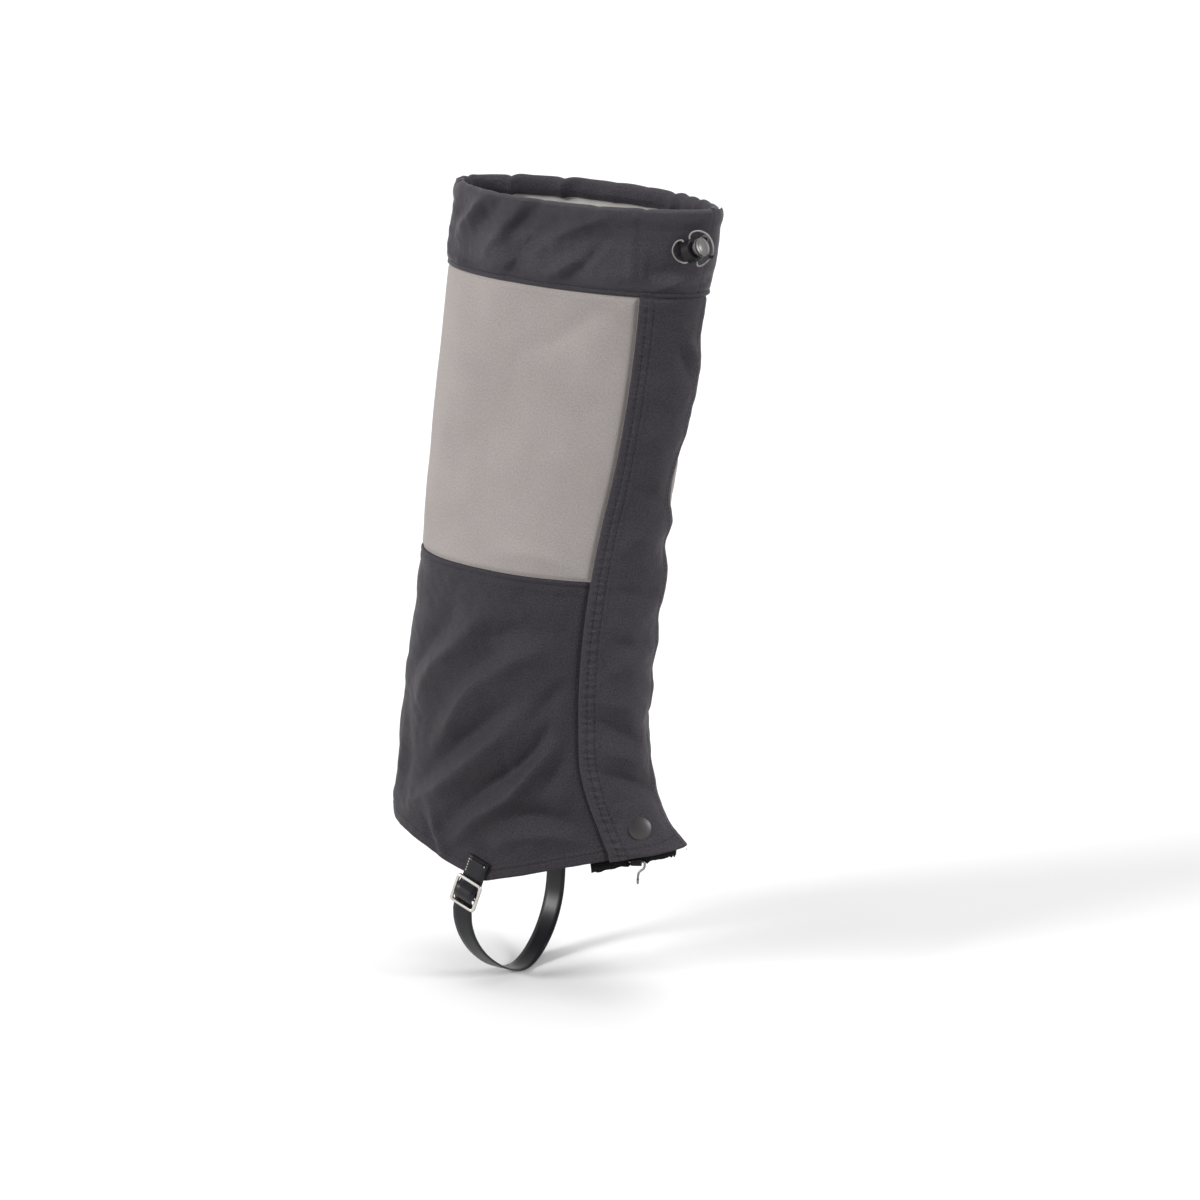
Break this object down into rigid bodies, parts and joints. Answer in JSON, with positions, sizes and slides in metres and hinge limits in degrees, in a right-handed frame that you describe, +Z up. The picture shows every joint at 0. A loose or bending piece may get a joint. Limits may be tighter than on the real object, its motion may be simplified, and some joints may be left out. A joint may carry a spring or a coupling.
{
  "type": "gaiter",
  "caption": "Calf-high hiking gaiter for a right leg, with a front flap, drawcord cuff, cord lock, snap, and a buckled instep strap; worn shape, no boot.",
  "frame": {"origin": "on the leg's axis where the boot's collar holds the gaiter, level with the hem's lowest point", "axes": "+Z up the leg, -Y towards the toe, -X to the outer side of the right leg, where the buckle is"},
  "size_m": [0.107, 0.2482, 0.5236],
  "materials": {
    "calf_cloth": "smooth coated taffeta, matt",
    "ankle_cloth": "textured nylon oxford, matt",
    "cuff_cloth": "fine nylon oxford, slight sheen",
    "flap_cloth": "fine nylon oxford, slight sheen",
    "underlap_cloth": "nylon oxford, matt",
    "hook_fastener": "moulded nylon hooks",
    "loop_fastener": "brushed nylon loops",
    "elastic_cord": "thin shock cord, glossy braid",
    "tape_webbing": "narrow woven webbing",
    "snap_metal": "matt dark lacquer on brass",
    "lock_plastic": "moulded acetal",
    "button_plastic": "moulded acetal, satin grey",
    "spring_steel": "bright spring wire",
    "strap_cloth": "smooth polyurethane-coated strap",
    "buckle_metal": "satin nickel with a warm tone",
    "hook_metal": "bent nickel-plated wire"
  },
  "bodies": {
    "gaiter": {"outer_calf_panel": "calf_cloth", "inner_calf_panel": "calf_cloth", "outer_ankle_panel": "ankle_cloth", "inner_ankle_panel": "ankle_cloth", "cuff_band": "cuff_cloth", "underlap": "underlap_cloth", "loop_tape": "loop_fastener", "drawcord": "elastic_cord", "snap_stud": "snap_metal", "snap_post": "snap_metal", "hook_loop": "tape_webbing"},
    "flap": {"front_flap": "flap_cloth", "cuff_end": "cuff_cloth", "cuff_lip": "cuff_cloth", "hook_tape": "hook_fastener", "snap_cap": "snap_metal", "snap_socket": "snap_metal", "cord_eyelet": "snap_metal", "drawcord_front": "elastic_cord", "lock_tab": "tape_webbing", "lock_body": "lock_plastic", "lock_spring": "spring_steel", "anchor_loop": "elastic_cord", "cord_loop": "elastic_cord", "cord_knot": "lock_plastic"},
    "plunger": {"lock_button": "button_plastic"},
    "stirrup": {"buckle_tab": "strap_cloth", "buckle_frame": "buckle_metal", "instep_strap": "strap_cloth", "inner_tab": "strap_cloth"},
    "lace_hook": {"lace_hook": "hook_metal"}
  },
  "joints": [
    {"name": "flap_open", "type": "hinge", "parent": "gaiter", "child": "flap", "pos_m": [-0.03551, -0.05763, 0.06], "axis": [-0.0205, 0.1049, -0.9943], "range_deg": [0, 120]},
    {"name": "button_press", "type": "slide", "parent": "flap", "child": "plunger", "axis": [0.161, 0.9131, -0.3746], "range_m": [0, 0.0026], "stiffness_N_per_m": 900},
    {"name": "stirrup_swing", "type": "hinge", "parent": "gaiter", "child": "stirrup", "pos_m": [0, 0.0155, 0.004], "axis": [1, 0, 0], "range_deg": [-25, 25]},
    {"name": "lace_hook_swing", "type": "hinge", "parent": "gaiter", "child": "lace_hook", "pos_m": [-0.01861, -0.08913, 0.01935], "axis": [0.4701, -0.8826, 0], "range_deg": [-20, 75]}
  ]
}
